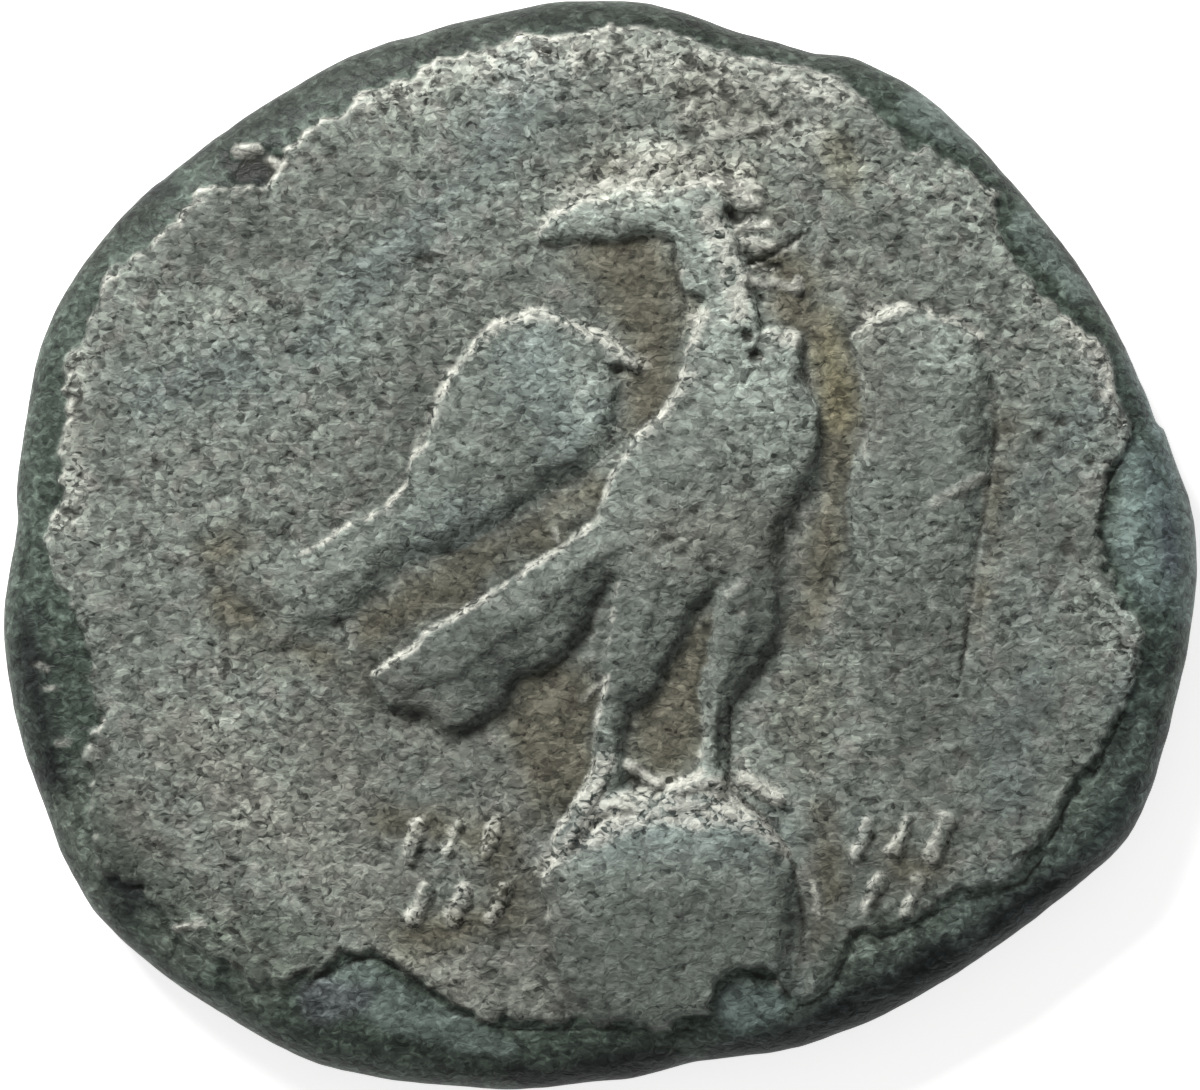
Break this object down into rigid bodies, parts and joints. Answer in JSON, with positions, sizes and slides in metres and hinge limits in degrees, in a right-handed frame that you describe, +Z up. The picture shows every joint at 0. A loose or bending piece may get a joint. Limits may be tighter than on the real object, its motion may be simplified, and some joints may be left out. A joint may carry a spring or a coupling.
{
  "type": "dupondius coin",
  "caption": "Worn ancient struck coin on a thick uneven flan: an eagle standing on a globe in low relief, a plain worn head on the underside.",
  "frame": {"origin": "middle of the outline, on the surface that the coin lies on", "axes": "+Z up through the thickness, with the eagle's face up; +X to the right of the eagle's face, along the longest side; +Y to the top of the coin"},
  "size_m": [0.028, 0.0256, 0.003],
  "materials": {
    "patinated_brass": "worn and pitted grey skin over a smooth dark green patina, brown deposits in the recesses"
  },
  "bodies": {
    "root": {"coin": "patinated_brass"}
  },
  "joints": []
}
